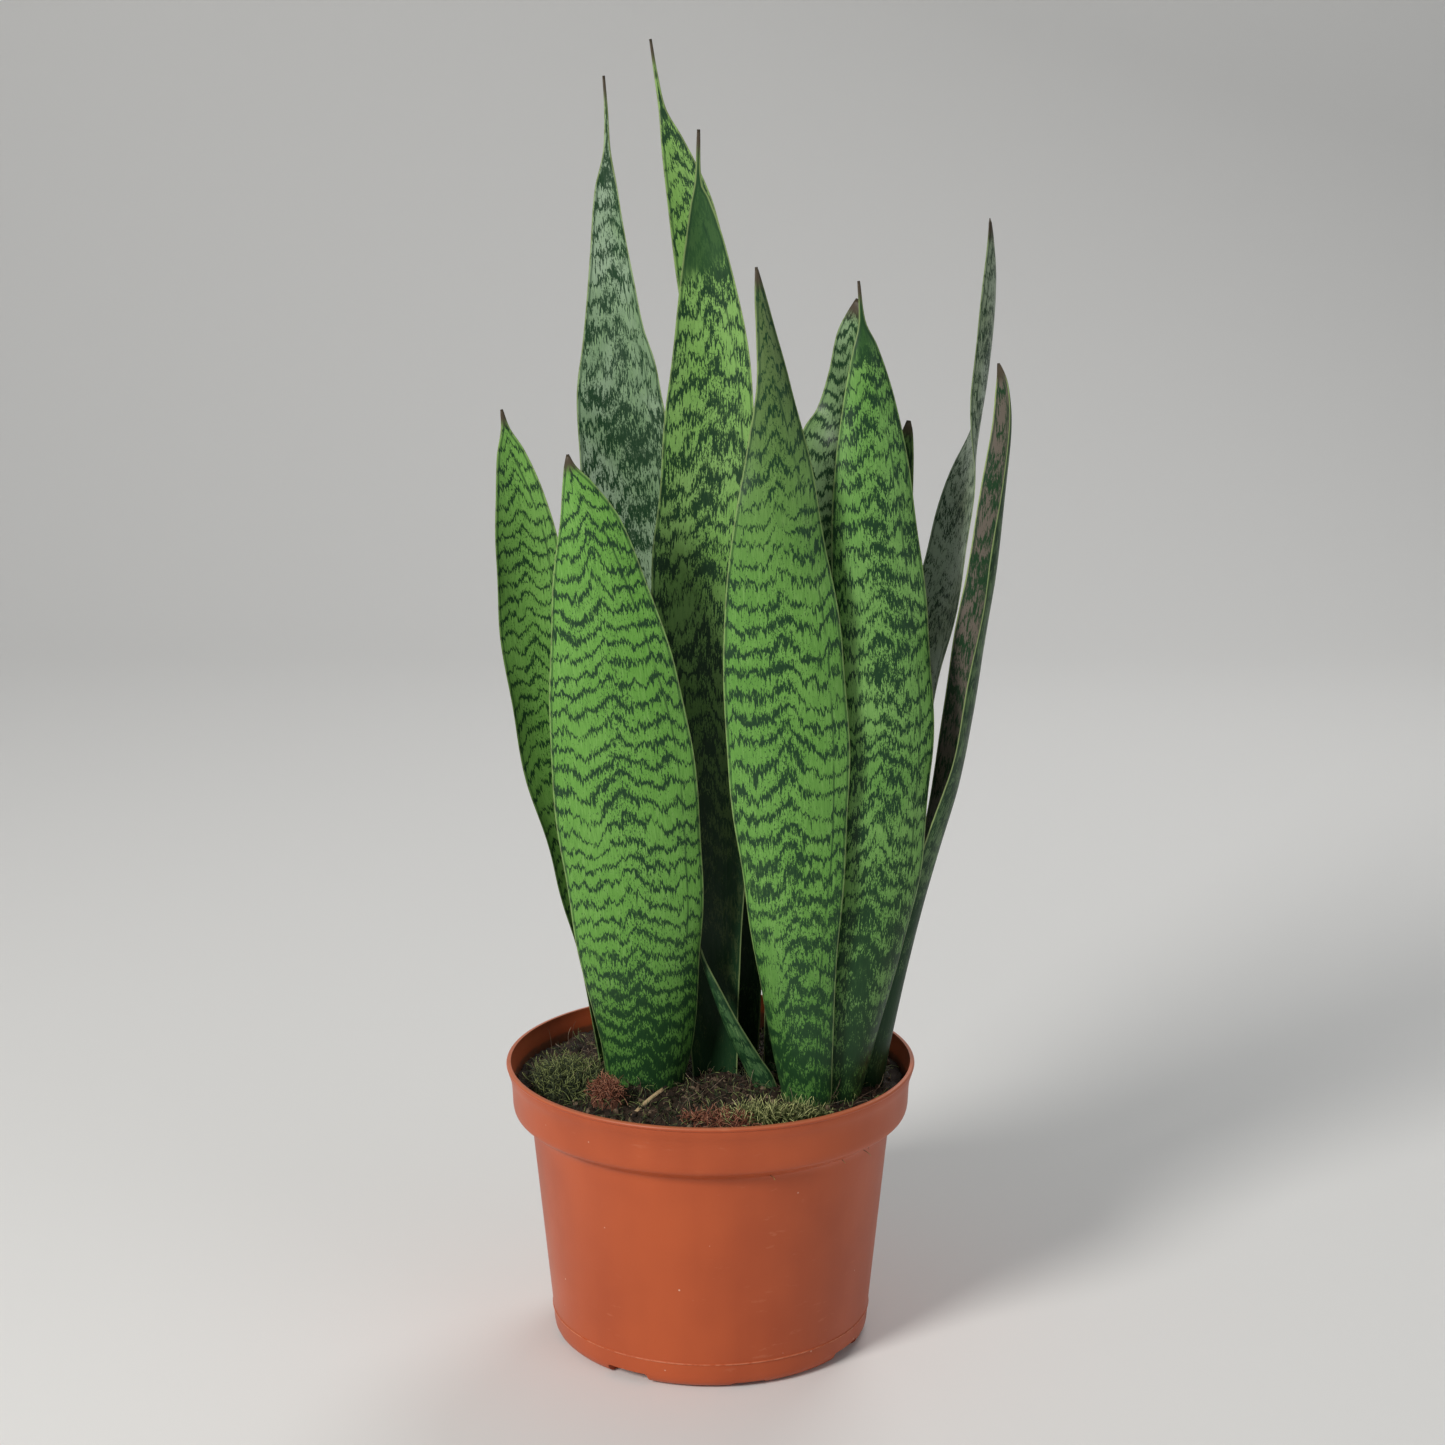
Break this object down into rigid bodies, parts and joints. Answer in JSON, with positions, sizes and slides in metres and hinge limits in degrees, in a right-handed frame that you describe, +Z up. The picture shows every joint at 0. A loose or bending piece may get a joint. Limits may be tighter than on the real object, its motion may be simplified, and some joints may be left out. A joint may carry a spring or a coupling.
{
  "type": "potted snake plant",
  "caption": "Upright snake plant with banded sword-shaped leaves, growing in a round moulded nursery pot filled with peat soil and moss.",
  "frame": {"origin": "on the pot's axis, on its flat underside", "axes": "+Z up along the pot axis and the leaves, -Y to the front of the plant, +X to the right"},
  "size_m": [0.2299, 0.19, 0.5951],
  "materials": {
    "pot_plastic": "satin moulded, faint scuffs",
    "potting_soil": "dark crumbly peat",
    "moss": "dry strands",
    "coarse_peat": "reddish fibre",
    "straw": "dry, split",
    "front_left_leaf": "satin, banded",
    "front_centre_leaf": "satin, banded",
    "front_right_leaf": "satin, banded",
    "centre_leaf": "satin, banded",
    "tallest_leaf": "satin, banded",
    "back_left_leaf": "satin, banded",
    "far_left_leaf": "satin, banded",
    "behind_right_leaf": "satin, banded",
    "hidden_tip_leaf": "satin, banded",
    "right_ribbon_leaf": "satin, banded",
    "right_channel_leaf": "satin, banded",
    "young_leaf": "satin, banded"
  },
  "bodies": {
    "root": {"pot": "pot_plastic", "soil": "potting_soil", "moss_left": "moss", "moss_front": "moss", "peat_clump": "coarse_peat", "straw": "straw", "leaf_front_left": "front_left_leaf", "leaf_front_centre": "front_centre_leaf", "leaf_front_right": "front_right_leaf", "leaf_centre": "centre_leaf", "leaf_tallest": "tallest_leaf", "leaf_back_left": "back_left_leaf", "leaf_far_left": "far_left_leaf", "leaf_behind_right": "behind_right_leaf", "leaf_hidden_tip": "hidden_tip_leaf", "leaf_right_ribbon": "right_ribbon_leaf", "leaf_right_channel": "right_channel_leaf", "leaf_young": "young_leaf"}
  },
  "joints": []
}
